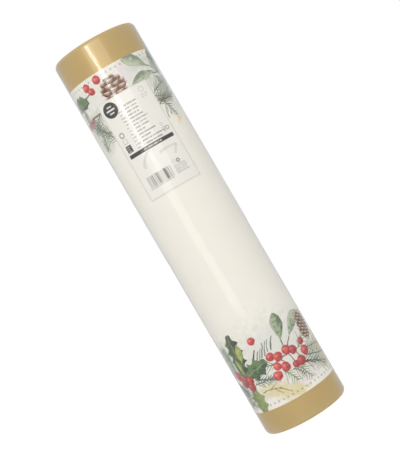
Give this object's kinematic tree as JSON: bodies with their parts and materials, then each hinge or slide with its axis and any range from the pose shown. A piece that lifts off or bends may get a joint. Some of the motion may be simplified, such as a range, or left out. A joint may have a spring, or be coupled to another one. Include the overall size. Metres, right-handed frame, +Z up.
{
  "type": "wrapping paper roll",
  "caption": "Roll of printed wrapping paper on a cardboard core, with a label and a clear shrink film, standing on its lower end.",
  "frame": {"origin": "centre of the film's lower end face, where the roll stands", "axes": "+Z up along the roll's axis towards its upper end; -Y out of the middle of the label; the paper's free edge is on the +Y side"},
  "size_m": [0.0856, 0.0856, 0.4],
  "materials": {
    "core_board": "dull",
    "core_liner": "dull",
    "web_edge": "cut edges of the turns, dull",
    "printed_web": "smooth, printed with a gold border and winter foliage",
    "tape": "satin, translucent",
    "label": "coated, printed",
    "film": "high gloss, clear"
  },
  "bodies": {
    "wrapped_roll": {"wound_web": "web_edge", "outer_turn": "printed_web", "tail_tape_upper": "tape", "tail_tape_lower": "tape", "label_sheet": "label", "film_sleeve": "film"},
    "core": {"core_inner_ply": "core_liner", "core_middle_ply": "core_board", "core_outer_ply": "core_board"}
  },
  "joints": [
    {"name": "core_slide", "type": "slide", "parent": "wrapped_roll", "child": "core", "axis": [0, 0, 1], "range_m": [0, 0.36]}
  ]
}
